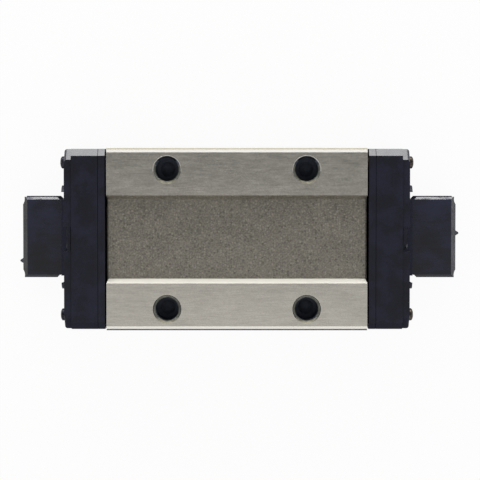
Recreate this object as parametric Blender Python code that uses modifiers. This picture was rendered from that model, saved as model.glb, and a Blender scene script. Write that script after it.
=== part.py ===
"""Linear guide carriage on its transport rail.

X runs along the rail, Y across it, Z up from the underside of the carriage to its mounting face.
All sizes are in metres.
"""

import math

import bmesh
import bpy
from mathutils import Matrix, Vector

# Steel block.
BLOCK_LENGTH = 0.0486
LEG_LIFT = 0.0008
EDGE_CHAMFER = 0.0008
LEG_CHAMFER = 0.0006
PAD_WIDTH = 0.008
CHANNEL_DEPTH = 0.0016
CHANNEL_FLANK = 0.001
CHANNEL_END_SLOPE = 0.0003
CHANNEL_END_DEPTH = 0.001
SIDE_RELIEF = 0.0003
SIDE_RELIEF_HEIGHT = 0.0055

# Tapped mounting holes and the holes of the end screws.
HOLE_CORE_RADIUS = 0.0021
HOLE_CHAMFER = 0.00065
HOLE_DEPTH = 0.00765
DRILL_SLOPE = math.tan(math.radians(31))
HOLE_FROM_SIDE = 0.004
HOLE_FROM_END = 0.0113
HOLE_FLOOR_WALL = 0.0009
SCREW_FROM_SIDE = 0.0027
SCREW_WEB = 0.003
SCREW_SHANK_RADIUS = 0.0009
SCREW_HEAD_RADIUS = 0.00125
SCREW_HEAD_HEIGHT = 0.0008
SCREW_CROWN_RADIUS = 0.00075
SCREW_GRIP = 0.006
SCREW_CLEARANCE = 0.0002

# Balls and their four closed circuits.
BALL_RADIUS = 0.0015875
BALL_CLEARANCE = 0.00015
BALL_PITCH = 0.0042
ROW_INSET = 0.0004
RIDGE_NECK = 0.0007
RIDGE_REACH = 0.0003
GUIDE_CORE = 0.0009
TUBE_WALL = 0.00035
TUBE_CLEARANCE = 0.00015
RETURN_SIDE_WALL = 0.0021875
RETURN_WEB = 0.0018
LEG_WALL = 0.0009

# Transport rail.
DUMMY_OVERHANG = 0.00914
DUMMY_SHIFT = 0.00045
DUMMY_WIDTH = 0.0154
DUMMY_LIFT = 0.0006
DUMMY_CORNER = 0.0005
DUMMY_WAIST_DEPTH = 0.0017
DUMMY_CORE_WIDTH = 0.0072
DUMMY_CORE_DEPTH = 0.0045
HEAD_LIP = 0.00056
FOOT_LIP = 0.0011
DUMMY_END_CHAMFER = 0.0009
NOTCH_DEPTH = 0.0008
NOTCH_FROM_SEAL = 0.0013
NUB_RADIUS = 0.0006
NUB_TIP_RADIUS = 0.00015
NUB_LENGTH = 0.0007
NUB_SIDES = 4
LEFT_NUB_Y = -0.0046
RIGHT_NUB_Y = 0.0007
PASSAGE_GAP = 0.0004

# Layers at each end.
LAYER_GAP = 0.0001
BLOCK_GAP = 0.0003
PLATE_THICKNESS = 0.0013
CAP_WALL = 0.0018
CAP_INSET = 0.00015
CAP_DROP = 0.0004
CAP_CHAMFER = 0.0013
CAP_FOOT_RADIUS = 0.0005
CAP_RAIL_GAP = 0.00035
SEAL_THICKNESS = 0.00124
SEAL_INSET = 0.0005
SEAL_CHAMFER = 0.0017
LIP_GAP = 0.00012
LIP_WEB = 0.0002
BEAD_FROM_RAIL = 0.00105
BEAD_WIDTH = 0.0011
BEAD_PROUD = 0.00115
PORT_RISE = 0.0059
PORT_RADIUS = 0.0015
PLUG_HEAD_RADIUS = 0.0021
PLUG_SINK = 0.00045
PLUG_LENGTH = 0.003
PLUG_CLEARANCE = 0.00015

# Strips inside the block and under its legs.
GUIDE_EDGE = 0.00024
GUIDE_CLEARANCE = 0.00015
RETAINER_THICKNESS = 0.0005
RETAINER_GAP = 0.00025
KEEPER_DEPTH = 0.0004
KEEPER_GAP = 0.00015
KEEPER_HALF_HEIGHT = 0.0004
UNDER_SEAL_LIP = 0.0005
UNDER_SEAL_GAP = 0.0003
UNDER_SEAL_RAIL_GAP = 0.00015
UNDER_SEAL_LIP_HEIGHT = 0.0012

# Facets, and how far a cutter runs past the faces that it opens.
ARC_STEP = math.radians(15)
SHARP_ANGLE = math.radians(35)
BALL_SWELL = 1.02
BALL_RING_ANGLES = (22.5, 67.5, 112.5, 157.5)
ROUND_SIDES = 20
SMALL_SIDES = 12
TURN_STEPS = 18
CUT_OVERRUN = 0.001

# How much the leg of a chamfer grows for each unit that its outline is set outwards.
CHAMFER_GROWTH = 2 - math.sqrt(2)

# Places across the rail, from the middle plane out to the side of the block.
GROOVE_RADIUS = BALL_RADIUS + BALL_CLEARANCE
TUBE_RADIUS = GROOVE_RADIUS + TUBE_WALL
BORE_RADIUS = TUBE_RADIUS + TUBE_CLEARANCE
ROW_SPREAD = DUMMY_WIDTH / 2 - ROW_INSET
RIDGE_TIP = ROW_SPREAD - RIDGE_REACH
DUMMY_WAIST = DUMMY_WIDTH / 2 - DUMMY_WAIST_DEPTH
PASSAGE_HALF = DUMMY_WIDTH / 2 + PASSAGE_GAP
RETURN_Y = ROW_SPREAD + 2 * (GROOVE_RADIUS + GUIDE_CORE)
BLOCK_WIDTH = 2 * (RETURN_Y + BORE_RADIUS + RETURN_SIDE_WALL)
HOLE_Y = BLOCK_WIDTH / 2 - HOLE_FROM_SIDE
SCREW_Y = BLOCK_WIDTH / 2 - SCREW_FROM_SIDE

# Heights, from the underside up to the mounting face.
ROW_SPACING = 2 * GROOVE_RADIUS + RIDGE_NECK
RACE_MID_Z = DUMMY_LIFT + FOOT_LIP + GROOVE_RADIUS + ROW_SPACING / 2
UPPER_ROW_Z = RACE_MID_Z + ROW_SPACING / 2
LOWER_ROW_Z = RACE_MID_Z - ROW_SPACING / 2
DUMMY_TOP = UPPER_ROW_Z + GROOVE_RADIUS + HEAD_LIP
CEILING_Z = DUMMY_TOP + 2 * RETAINER_GAP + RETAINER_THICKNESS
LOWER_RETURN_Z = LEG_LIFT + LEG_WALL + BORE_RADIUS
UPPER_RETURN_Z = LOWER_RETURN_Z + 2 * BORE_RADIUS + RETURN_WEB
BORE_TOP_Z = UPPER_RETURN_Z + BORE_RADIUS
HOLE_FLOOR_Z = BORE_TOP_Z + HOLE_FLOOR_WALL
MOUNT_HEIGHT = HOLE_FLOOR_Z + HOLE_DEPTH
SCREW_Z = BORE_TOP_Z + SCREW_WEB + SCREW_SHANK_RADIUS + SCREW_CLEARANCE
PORT_Z = DUMMY_TOP + PORT_RISE
HOLE_X = BLOCK_LENGTH / 2 - HOLE_FROM_END
GUIDE_HALF_HEIGHT = GROOVE_RADIUS - GUIDE_EDGE
CIRCUITS = {
    "upper": ((ROW_SPREAD, UPPER_ROW_Z), (RETURN_Y, UPPER_RETURN_Z)),
    "lower": ((ROW_SPREAD, LOWER_ROW_Z), (RETURN_Y, LOWER_RETURN_Z)),
}
SIDES = {"front": -1, "back": 1}
ENDS = {"left": -1, "right": 1}
NUB_Y = {"left": LEFT_NUB_Y, "right": RIGHT_NUB_Y}


def turn_radius(row, back):
    """Half the distance between a loaded row and its return bore."""
    return math.dist(row, back) / 2


# The layers at each end, as distances from the middle of the block along X.
TURN_X = BLOCK_LENGTH / 2 + BLOCK_GAP / 2
WIDEST_TURN = max(turn_radius(row, back) for row, back in CIRCUITS.values())
PLATE_X = BLOCK_LENGTH / 2 + BLOCK_GAP
CAP_X = PLATE_X + PLATE_THICKNESS + LAYER_GAP
CAP_END_X = TURN_X + WIDEST_TURN + GROOVE_RADIUS + CAP_WALL
SEAL_X = CAP_END_X + LAYER_GAP
SEAL_END_X = SEAL_X + SEAL_THICKNESS
LIP_X = SEAL_END_X + LAYER_GAP
DUMMY_LENGTH = 2 * (SEAL_END_X + DUMMY_OVERHANG)

planned_booleans = []

# The extruded outlines lie in the YZ plane, and the turned shapes stand along Z.
YZ_PLANE = Matrix(((0, 0, 1, 0), (1, 0, 0, 0), (0, 1, 0, 0), (0, 0, 0, 1)))

for old in list(bpy.data.objects):
    bpy.data.objects.remove(old)

parts = bpy.data.collections.new("linear_guide_carriage")
cutters = bpy.data.collections.new("cutters")
bpy.context.scene.collection.children.link(parts)
bpy.context.scene.collection.children.link(cutters)

carriage = bpy.data.objects.new("carriage", None)
dummy_slide = bpy.data.objects.new("dummy_slide", None)
dummy_slide.location = (DUMMY_SHIFT, 0, 0)
parts.objects.link(carriage)
parts.objects.link(dummy_slide)


def material(name, colour, roughness, metallic):
    made = bpy.data.materials.new(name)
    made.use_nodes = True
    shader = made.node_tree.nodes["Principled BSDF"]
    shader.inputs["Base Color"].default_value = (*colour, 1)
    shader.inputs["Roughness"].default_value = roughness
    shader.inputs["Metallic"].default_value = metallic
    return made


GROUND_STEEL = material("ground_steel", (0.42, 0.41, 0.38), 0.35, 1)
BALL_STEEL = material("ball_steel", (0.6, 0.6, 0.6), 0.1, 1)
SCREW_STEEL = material("screw_steel", (0.05, 0.05, 0.06), 0.4, 1)
BLACK_RESIN = material("black_resin", (0.02, 0.021, 0.028), 0.4, 0)
SEAL_RESIN = material("seal_plate", (0.02, 0.021, 0.026), 0.45, 0)
SEAL_RUBBER = material("seal_rubber", (0.018, 0.018, 0.018), 0.6, 0)
GUIDE_RESIN = material("guide_resin", (0.6, 0.58, 0.5), 0.5, 0)
DUMMY_PLASTIC = material("dummy_plastic", (0.022, 0.023, 0.031), 0.35, 0)


def add(name, mesh, collection, matrix=None):
    obj = bpy.data.objects.new(name, mesh)
    if matrix:
        obj.matrix_world = matrix
    collection.objects.link(obj)
    return obj


def finish(obj, finish_material, parent=carriage):
    """Gives a part its material, its smooth shading and its place under the piece that carries it."""
    if not obj.data.materials:
        obj.data.materials.append(finish_material)
    obj.data.shade_smooth()
    obj.data.set_sharp_from_angle(angle=SHARP_ANGLE)
    world = obj.matrix_world.copy()
    obj.parent = parent
    obj.matrix_parent_inverse = Matrix.Translation(parent.location).inverted()
    obj.matrix_world = world
    return obj


def arc(centre, radius, start, end):
    """Points on a circle from one angle to another, in degrees, no wider apart than a facet."""
    turn = math.radians(end - start)
    steps = max(1, math.ceil(abs(turn) / ARC_STEP - 1e-6))
    angles = [math.radians(start) + turn * step / steps for step in range(steps + 1)]
    return [(centre[0] + radius * math.cos(a), centre[1] + radius * math.sin(a)) for a in angles]


def rounded(corners):
    """Outline of (y, z, radius) corners, where a radius above zero makes the corner an arc."""
    outline = []
    for index, (y, z, radius) in enumerate(corners):
        corner = Vector((y, z))
        if radius <= 0:
            outline.append((y, z))
            continue
        before = (Vector(corners[index - 1][:2]) - corner).normalized()
        after = (Vector(corners[(index + 1) % len(corners)][:2]) - corner).normalized()
        half = before.angle(after) / 2
        centre = corner + (before + after).normalized() * radius / math.sin(half)
        first = corner + before * radius / math.tan(half) - centre
        last = corner + after * radius / math.tan(half) - centre
        turn = first.angle_signed(last)
        steps = max(1, math.ceil(abs(turn) / (2 * ARC_STEP) - 1e-6))
        for step in range(steps + 1):
            spoke = Vector((first.x, first.y))
            spoke.rotate(Matrix.Rotation(-turn * step / steps, 2))
            outline.append(tuple(centre + spoke))
    return outline


def both_sides(half):
    """Outline from its half at positive Y, which starts and ends on the middle plane."""
    mirrored = [(-y, z) for y, z in reversed(half) if y > 1e-9]
    return half + mirrored


def extruded(name, outlines, x_start, x_end, collection=parts):
    """Flat YZ outlines, the first one the outside and the others holes, extruded along X."""
    curve = bpy.data.curves.new(name, "CURVE")
    curve.dimensions = "2D"
    curve.fill_mode = "BOTH"
    curve.extrude = abs(x_end - x_start) / 2
    for outline in outlines:
        spline = curve.splines.new("POLY")
        spline.points.add(len(outline) - 1)
        for point, (y, z) in zip(spline.points, outline):
            point.co = (y, z, 0, 1)
        spline.use_cyclic_u = True
    place = Matrix.Translation(((x_start + x_end) / 2, 0, 0)) @ YZ_PLANE
    return as_mesh(add(name, curve, collection, place), collection)


def as_mesh(source, collection):
    """Turns a curve, or an object with modifiers, into a welded mesh object in its place."""
    bpy.context.view_layer.update()
    evaluated = source.evaluated_get(bpy.context.evaluated_depsgraph_get())
    mesh = bpy.data.meshes.new_from_object(evaluated)
    welded = bmesh.new()
    welded.from_mesh(mesh)
    bmesh.ops.remove_doubles(welded, verts=welded.verts, dist=1e-6)
    bmesh.ops.recalc_face_normals(welded, faces=welded.faces)
    welded.to_mesh(mesh)
    welded.free()
    name, place = source.name, source.matrix_world.copy()
    bpy.data.objects.remove(source)
    obj = add(name, mesh, collection, place)
    obj.name = name
    return obj


def turned(name, profile, collection, sides, matrix):
    """Closed profile of (radius, height) points, run down its outer side, turned about local Z."""
    mesh = bpy.data.meshes.new(name)
    edges = [(i, i + 1) for i in range(len(profile) - 1)]
    if profile[0][0] > 0 and profile[-1][0] > 0:
        edges.append((len(profile) - 1, 0))
    mesh.from_pydata([(radius, 0, height) for radius, height in profile], edges, [])
    obj = add(name, mesh, collection, matrix)
    screw = obj.modifiers.new("turn", "SCREW")
    screw.steps = sides
    screw.render_steps = sides
    screw.use_merge_vertices = True
    screw.merge_threshold = 1e-6
    return as_mesh(obj, collection)


def cone(name, foot_radius, tip_radius, length, sides, matrix):
    """Cutter that tapers along its local Z, centred on its matrix."""
    mesh = bpy.data.meshes.new(name)
    bar = bmesh.new()
    bmesh.ops.create_cone(
        bar, cap_ends=True, segments=sides, radius1=foot_radius, radius2=tip_radius, depth=length
    )
    bar.to_mesh(mesh)
    bar.free()
    return add(name, mesh, cutters, matrix)


def cylinder(name, radius, length, sides, matrix):
    """Round cutter along its local Z, centred on its matrix."""
    return cone(name, radius, radius, length, sides, matrix)


def box(name, size, matrix):
    """Cutter with a size along its local X, Y and Z, centred on its matrix."""
    mesh = bpy.data.meshes.new(name)
    cube = bmesh.new()
    bmesh.ops.create_cube(cube, size=1)
    bmesh.ops.scale(cube, vec=size, verts=cube.verts)
    cube.to_mesh(mesh)
    cube.free()
    return add(name, mesh, cutters, matrix)


def facing(point, direction):
    """Place whose local Z points in a direction, with its local Y as upright as it can be."""
    turn = Vector(direction).to_track_quat("Z", "Y").to_matrix().to_4x4()
    return Matrix.Translation(point) @ turn


def along_x(x, y, z):
    """Place whose local Z points along X."""
    return Matrix.Translation((x, y, z)) @ Matrix.Rotation(math.pi / 2, 4, "Y")


def plan_boolean(obj, tools, operation="DIFFERENCE"):
    """Sets a part's cutters aside for one Boolean, which is added once every shape is made."""
    group = bpy.data.collections.new(obj.name + "_tools")
    cutters.children.link(group)
    for tool in tools:
        cutters.objects.unlink(tool)
        group.objects.link(tool)
        tool.hide_render = True
        tool.display_type = "WIRE"
    planned_booleans.append((obj, group, operation))
    return obj


def add_booleans():
    for obj, group, operation in planned_booleans:
        boolean = obj.modifiers.new("boolean", "BOOLEAN")
        boolean.operation = operation
        boolean.operand_type = "COLLECTION"
        boolean.collection = group


def rail_head(offset):
    """Outline of the rail's top and its chamfer, grown by an offset, from the middle to the side."""
    side = DUMMY_WIDTH / 2 + offset
    top = DUMMY_TOP + offset
    leg = DUMMY_CORNER + CHAMFER_GROWTH * offset
    return [(0, top), (side - leg, top), (side, top - leg)]


def rail_half(offset):
    """Half outline of the transport rail, grown by an offset, from its top down to its foot."""
    side = DUMMY_WIDTH / 2 + offset
    groove = GROOVE_RADIUS - offset
    waist = DUMMY_WAIST + offset
    at_side = math.degrees(math.acos((side - ROW_SPREAD) / groove))
    at_waist = math.degrees(math.acos((waist - ROW_SPREAD) / groove))
    upper = arc((ROW_SPREAD, UPPER_ROW_Z), groove, at_side, 360 - at_waist)
    lower = arc((ROW_SPREAD, LOWER_ROW_Z), groove, at_waist, 360 - at_side)
    return rail_head(offset) + upper + lower + [(side, DUMMY_LIFT)]


def rail_opening(offset):
    """Outline of the cut that the rail passes through, open to below the underside."""
    side = DUMMY_WIDTH / 2 + offset
    return both_sides(rail_half(offset)[:-1] + [(side, -CUT_OVERRUN), (0, -CUT_OVERRUN)])


def plain_opening(offset):
    """Outline of a straight-sided cut around the rail, which leaves the balls free beside it."""
    side = DUMMY_WIDTH / 2 + offset
    return both_sides(rail_head(offset) + [(side, -CUT_OVERRUN), (0, -CUT_OVERRUN)])


def block_outline():
    """Cross-section of the steel block: mounting pads, channel, legs, raceways and passage."""
    side = BLOCK_WIDTH / 2
    pad_outer = side - EDGE_CHAMFER
    pad_inner = pad_outer - PAD_WIDTH
    floor_z = MOUNT_HEIGHT - CHANNEL_DEPTH
    relief = side - SIDE_RELIEF
    wall = PASSAGE_HALF
    at_wall = math.degrees(math.acos((wall - ROW_SPREAD) / GROOVE_RADIUS))
    at_tip = math.degrees(math.acos((RIDGE_TIP - ROW_SPREAD) / GROOVE_RADIUS))
    outside = [
        (0, floor_z),
        (pad_inner - CHANNEL_FLANK, floor_z),
        (pad_inner, MOUNT_HEIGHT),
        (pad_outer, MOUNT_HEIGHT),
        (side, MOUNT_HEIGHT - EDGE_CHAMFER),
        (side, LEG_LIFT + SIDE_RELIEF_HEIGHT + SIDE_RELIEF),
        (relief, LEG_LIFT + SIDE_RELIEF_HEIGHT),
        (relief, LEG_LIFT + LEG_CHAMFER),
        (relief - LEG_CHAMFER, LEG_LIFT),
    ]
    passage = [(wall + UNDER_SEAL_LIP, LEG_LIFT)]
    at_leg = math.degrees(math.acos((wall + UNDER_SEAL_LIP - ROW_SPREAD) / GROOVE_RADIUS))
    passage += arc((ROW_SPREAD, LOWER_ROW_Z), GROOVE_RADIUS, -at_leg, at_tip)
    passage += arc((ROW_SPREAD, UPPER_ROW_Z), GROOVE_RADIUS, -at_tip, at_wall)
    passage += [(wall, CEILING_Z), (0, CEILING_Z)]
    return both_sides(outside + passage)


def make_block():
    """The steel block with its return bores, tapped mounting holes and end screw holes."""
    block = extruded("carriage_block", [block_outline()], -BLOCK_LENGTH / 2, BLOCK_LENGTH / 2)
    tools = [channel_end_cutter(end) for end in ENDS.values()]
    for side in SIDES.values():
        for row, back in CIRCUITS.values():
            place = along_x(0, side * back[0], back[1])
            tools.append(cylinder("return_bore", BORE_RADIUS, 2 * BLOCK_LENGTH, ROUND_SIDES, place))
        for end in ENDS.values():
            tools.append(tapped_hole(end * HOLE_X, side * HOLE_Y))
            place = along_x(end * BLOCK_LENGTH / 2, side * SCREW_Y, SCREW_Z)
            radius = SCREW_SHANK_RADIUS + SCREW_CLEARANCE
            depth = 2 * (SCREW_GRIP + SCREW_CLEARANCE)
            tools.append(cylinder("screw_hole", radius, depth, SMALL_SIDES, place))
    finish(plan_boolean(block, tools), GROUND_STEEL)


def channel_end_cutter(end):
    """Leaning box that cuts back the end of the channel floor, from the height of the pads down."""
    slope = Vector((CHANNEL_END_SLOPE, 0, CHANNEL_DEPTH)).normalized()
    outward = Vector((end * slope.z, 0, -slope.x))
    height = 2 * (CHANNEL_DEPTH + CHANNEL_END_DEPTH)
    width = BLOCK_WIDTH - 2 * (EDGE_CHAMFER + PAD_WIDTH)
    top = Vector((end * BLOCK_LENGTH / 2, 0, MOUNT_HEIGHT))
    return box("channel_end", (width, height, height), facing(top + outward * height / 2, outward))


def tapped_hole(x, y):
    """Cutter of one mounting hole: a countersunk mouth, the core and a drill point."""
    point = HOLE_CORE_RADIUS * DRILL_SLOPE
    profile = [
        (0, CUT_OVERRUN),
        (HOLE_CORE_RADIUS + HOLE_CHAMFER + CUT_OVERRUN, CUT_OVERRUN),
        (HOLE_CORE_RADIUS, -HOLE_CHAMFER),
        (HOLE_CORE_RADIUS, point - HOLE_DEPTH),
        (0, -HOLE_DEPTH),
    ]
    return turned("tapped_hole", profile, cutters, ROUND_SIDES, Matrix.Translation((x, y, MOUNT_HEIGHT)))


def cap_outline(inset, chamfer):
    """Outer outline of an end layer, a little smaller than the block, with bevelled top edges."""
    side = BLOCK_WIDTH / 2 - inset
    top = MOUNT_HEIGHT - CAP_DROP - inset
    half = rounded([(0, top, 0), (side - chamfer, top, 0), (side, top - chamfer, 0),
                    (side, 0, CAP_FOOT_RADIUS), (0, 0, 0)])
    return both_sides(half)


def turn_place(side, row, back, end):
    """Centre of a turnaround, its local Z square to the plane that the balls turn in."""
    across = Vector((0, side * (back[0] - row[0]), back[1] - row[1])).normalized()
    normal = across.cross(Vector((1, 0, 0)))
    centre = Vector((end * TURN_X, side * (row[0] + back[0]) / 2, (row[1] + back[1]) / 2))
    place = Matrix((Vector((1, 0, 0)), across, normal)).transposed().to_4x4()
    place.translation = centre
    return place


def turn_cutters(end):
    """The half-ring ball tracks of one end, with the seats of the guides inside them."""
    tools = []
    for side in SIDES.values():
        for row, back in CIRCUITS.values():
            place = turn_place(side, row, back, end)
            radius = turn_radius(row, back)
            ring = [(radius + GROOVE_RADIUS * math.sin(a), GROOVE_RADIUS * math.cos(a))
                    for a in (2 * math.pi * step / SMALL_SIDES for step in range(SMALL_SIDES))]
            tools.append(turned("ball_turn", ring, cutters, TURN_STEPS, place))
            height = 2 * (GUIDE_HALF_HEIGHT + GUIDE_CLEARANCE)
            tools.append(cylinder("guide_seat", radius, height, TURN_STEPS, place))
    return tools


def screw_cutters(end):
    """Clearance holes of the two end screws through the layers of one end."""
    radius = SCREW_SHANK_RADIUS + SCREW_CLEARANCE
    middle = end * (PLATE_X + SEAL_END_X) / 2
    length = 2 * (SEAL_END_X - PLATE_X)
    return [cylinder("screw_way", radius, length, SMALL_SIDES, along_x(middle, side * SCREW_Y, SCREW_Z))
            for side in SIDES.values()]


def make_plate(name, end):
    """The thin layer against the block, which carries the turn guides."""
    plate = extruded(name, [cap_outline(CAP_INSET, CAP_CHAMFER)],
                     end * PLATE_X, end * (PLATE_X + PLATE_THICKNESS))
    opening = extruded("rail_way", [plain_opening(CAP_RAIL_GAP)],
                       end * (PLATE_X - LAYER_GAP), end * (CAP_X + LAYER_GAP), cutters)
    finish(plan_boolean(plate, [opening, *turn_cutters(end), *screw_cutters(end)]), BLACK_RESIN)


def make_cap(name, end):
    """The main moulding of one end, with the outer half of each turnaround and the grease port."""
    cap = extruded(name, [cap_outline(CAP_INSET, CAP_CHAMFER)], end * CAP_X, end * CAP_END_X)
    opening = extruded("rail_way", [rail_opening(CAP_RAIL_GAP)],
                       end * (CAP_X - LAYER_GAP), end * (CAP_END_X + LAYER_GAP), cutters)
    port = cylinder("grease_port", PORT_RADIUS, 2 * (CAP_END_X - CAP_X), ROUND_SIDES,
                    along_x(end * CAP_END_X, 0, PORT_Z))
    finish(plan_boolean(cap, [opening, port, *turn_cutters(end), *screw_cutters(end)]), BLACK_RESIN)


def make_seal_plate(name, end):
    """The outer layer: a plate with a slot at the top for the grease port."""
    plate = extruded(name, [cap_outline(SEAL_INSET, SEAL_CHAMFER)], end * SEAL_X, end * SEAL_END_X)
    opening = extruded("rail_way", [rail_opening(CAP_RAIL_GAP)],
                       end * (SEAL_X - LAYER_GAP), end * (LIP_X + LAYER_GAP), cutters)
    slot_half = PLUG_HEAD_RADIUS + PLUG_CLEARANCE
    slot = [(slot_half, MOUNT_HEIGHT), *arc((0, PORT_Z), slot_half, 0, -180), (-slot_half, MOUNT_HEIGHT)]
    port_slot = extruded("port_slot", [slot], end * (SEAL_X - LAYER_GAP), end * (LIP_X + LAYER_GAP),
                         cutters)
    finish(plan_boolean(plate, [opening, port_slot, *screw_cutters(end)]), SEAL_RESIN)


def lip_half(offset):
    """Half of a plain outline around the rail, with a round shoulder as wide as its offset."""
    side = DUMMY_WIDTH / 2 + offset
    top = DUMMY_TOP + offset
    return rounded([(0, top, 0), (side, top, offset), (side, DUMMY_LIFT, 0)])


def make_seal_lip(name, end):
    """The rubber lip on the outer plate: a thin web that follows the rail, and a bead around it."""
    outside = lip_half(BEAD_FROM_RAIL + BEAD_WIDTH)
    web = both_sides(outside + rail_half(LIP_GAP)[::-1])
    bead = both_sides(outside + lip_half(BEAD_FROM_RAIL)[::-1])
    lip = extruded(name, [web], end * LIP_X, end * (LIP_X + LIP_WEB))
    bead_start = LIP_X + LIP_WEB / 2
    tool = extruded("lip_bead", [bead], end * bead_start, end * (SEAL_END_X + BEAD_PROUD), cutters)
    finish(plan_boolean(lip, [tool], "UNION"), SEAL_RUBBER)


def make_screw(name, end, side):
    """Pan head screw that holds the end layers to the block."""
    head = SCREW_HEAD_HEIGHT
    reach = BLOCK_GAP + SEAL_END_X - PLATE_X + SCREW_GRIP + LAYER_GAP
    profile = [(0, head), (SCREW_CROWN_RADIUS, head), (SCREW_HEAD_RADIUS, head / 2), (SCREW_HEAD_RADIUS, 0),
               (SCREW_SHANK_RADIUS, 0), (SCREW_SHANK_RADIUS, -reach), (0, -reach)]
    turn = Matrix.Rotation(end * math.pi / 2, 4, "Y")
    place = Matrix.Translation((end * (SEAL_END_X + LAYER_GAP), side * SCREW_Y, SCREW_Z)) @ turn
    finish(turned(name, profile, parts, SMALL_SIDES, place), SCREW_STEEL)


def make_grease_plug(name, end):
    """Socket-headed plug that closes the grease port, sunk below the face of the seal plate."""
    face = SEAL_END_X - PLUG_SINK
    shank = PORT_RADIUS - PLUG_CLEARANCE
    seat = face - SEAL_X - LAYER_GAP
    socket = shank / 2
    profile = [(0, -seat), (socket, -seat), (socket, 0), (PLUG_HEAD_RADIUS - PLUG_CLEARANCE, 0),
               (PLUG_HEAD_RADIUS, -PLUG_CLEARANCE), (PLUG_HEAD_RADIUS, -seat), (shank, -seat),
               (shank, -seat - PLUG_LENGTH), (0, -seat - PLUG_LENGTH)]
    place = Matrix.Translation((end * face, 0, PORT_Z)) @ Matrix.Rotation(end * math.pi / 2, 4, "Y")
    finish(turned(name, profile, parts, ROUND_SIDES, place), BLACK_RESIN)


def make_turn_guide(name, end, side, row, back):
    """Half spool that the balls roll around, its flat face to the block."""
    radius = turn_radius(row, back)
    height = GUIDE_HALF_HEIGHT
    groove = GROOVE_RADIUS + GUIDE_CLEARANCE
    lean = math.degrees(math.asin(height / groove))
    rim = arc((radius, 0), groove, 180 - lean, 180 + lean)
    profile = [(0, height), *rim, (0, -height)]
    spool = turned(name, profile, parts, ROUND_SIDES, turn_place(side, row, back, end))
    size = 2 * radius
    centre = spool.matrix_world.translation
    place = Matrix.Translation((end * (PLATE_X - size / 2), centre.y, centre.z))
    finish(plan_boolean(spool, [box("block_side", (size, size, size), place)]), GUIDE_RESIN)


def make_return_tube(name, side, back):
    """Resin liner of one return bore."""
    half = BLOCK_LENGTH / 2
    profile = [(GROOVE_RADIUS, half), (TUBE_RADIUS, half), (TUBE_RADIUS, -half), (GROOVE_RADIUS, -half)]
    tube = turned(name, profile, parts, ROUND_SIDES, along_x(0, side * back[0], back[1]))
    finish(tube, GUIDE_RESIN)


def make_ball_chain(name, side, row, back):
    """The balls of one circuit on their belt: a cord along the circuit that swells at each ball."""
    radius = turn_radius(row, back)
    straight = 2 * TURN_X
    turn = math.pi * radius
    length = 2 * (straight + turn)
    count = int(length / BALL_PITCH) - 1
    pitch = length / (count + 1)
    loaded = Vector((0, side * row[0], row[1]))
    returning = Vector((0, side * back[0], back[1]))
    across = (returning - loaded).normalized()
    middle = (loaded + returning) / 2

    def turning(distance, end):
        """Point on a turnaround, from the return bore on at the left and from the row on at the right."""
        angle = distance / radius
        reach = Vector((end * (TURN_X + radius * math.sin(angle)), 0, 0))
        return middle + reach - end * across * radius * math.cos(angle)

    def at(distance):
        """Point of the circuit, measured from the middle of the return run."""
        distance = distance % length
        if distance < straight / 2:
            return returning - Vector((distance, 0, 0))
        distance -= straight / 2
        if distance < turn:
            return turning(distance, -1)
        distance -= turn
        if distance < straight:
            return loaded + Vector((distance - TURN_X, 0, 0))
        distance -= straight
        if distance < turn:
            return turning(distance, 1)
        return returning + Vector((TURN_X + turn - distance, 0, 0))

    facet_radius = BALL_RADIUS * BALL_SWELL
    points = []
    for ball in range(1, count + 1):
        for angle in map(math.radians, BALL_RING_ANGLES):
            offset = -facet_radius * math.cos(angle)
            points.append((at(ball * pitch + offset), facet_radius * math.sin(angle)))
    curve = bpy.data.curves.new(name, "CURVE")
    curve.dimensions = "3D"
    curve.bevel_depth = 1
    curve.bevel_resolution = 2
    curve.use_fill_caps = True
    spline = curve.splines.new("POLY")
    spline.points.add(len(points) - 1)
    for point, (place, thickness) in zip(spline.points, points):
        point.co = (*place, 1)
        point.radius = thickness
    chain = as_mesh(add(name, curve, parts), parts)
    finish(chain, BALL_STEEL)


def make_strips():
    """The ceiling retainer, the keepers between the rows and the seals under the legs."""
    half = BLOCK_LENGTH / 2
    bottom = DUMMY_TOP + RETAINER_GAP
    edge = PASSAGE_HALF - BLOCK_GAP
    retainer = both_sides([(0, bottom + RETAINER_THICKNESS), (edge, bottom + RETAINER_THICKNESS),
                           (edge, bottom), (0, bottom)])
    finish(extruded("ceiling_retainer", [retainer], -half, half), GUIDE_RESIN)
    for name, side in SIDES.items():
        outer = RIDGE_TIP - KEEPER_GAP
        inner = outer - KEEPER_DEPTH
        flare = KEEPER_HALF_HEIGHT + KEEPER_GAP
        keeper = [(side * outer, RACE_MID_Z - KEEPER_HALF_HEIGHT),
                  (side * outer, RACE_MID_Z + KEEPER_HALF_HEIGHT),
                  (side * inner, RACE_MID_Z + flare), (side * inner, RACE_MID_Z - flare)]
        finish(extruded("ball_keeper_" + name, [keeper], -half, half), GUIDE_RESIN)
        lip_in = DUMMY_WIDTH / 2 + UNDER_SEAL_RAIL_GAP
        lip_out = lip_in + UNDER_SEAL_LIP
        edge_out = BLOCK_WIDTH / 2 - SIDE_RELIEF - 2 * LEG_CHAMFER
        seal = [(side * lip_in, 0), (side * lip_in, UNDER_SEAL_LIP_HEIGHT),
                (side * lip_out, UNDER_SEAL_LIP_HEIGHT), (side * lip_out, LEG_LIFT - UNDER_SEAL_GAP),
                (side * edge_out, LEG_LIFT - UNDER_SEAL_GAP), (side * edge_out, 0)]
        finish(extruded("under_seal_" + name, [seal], -half, half), SEAL_RUBBER)


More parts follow.
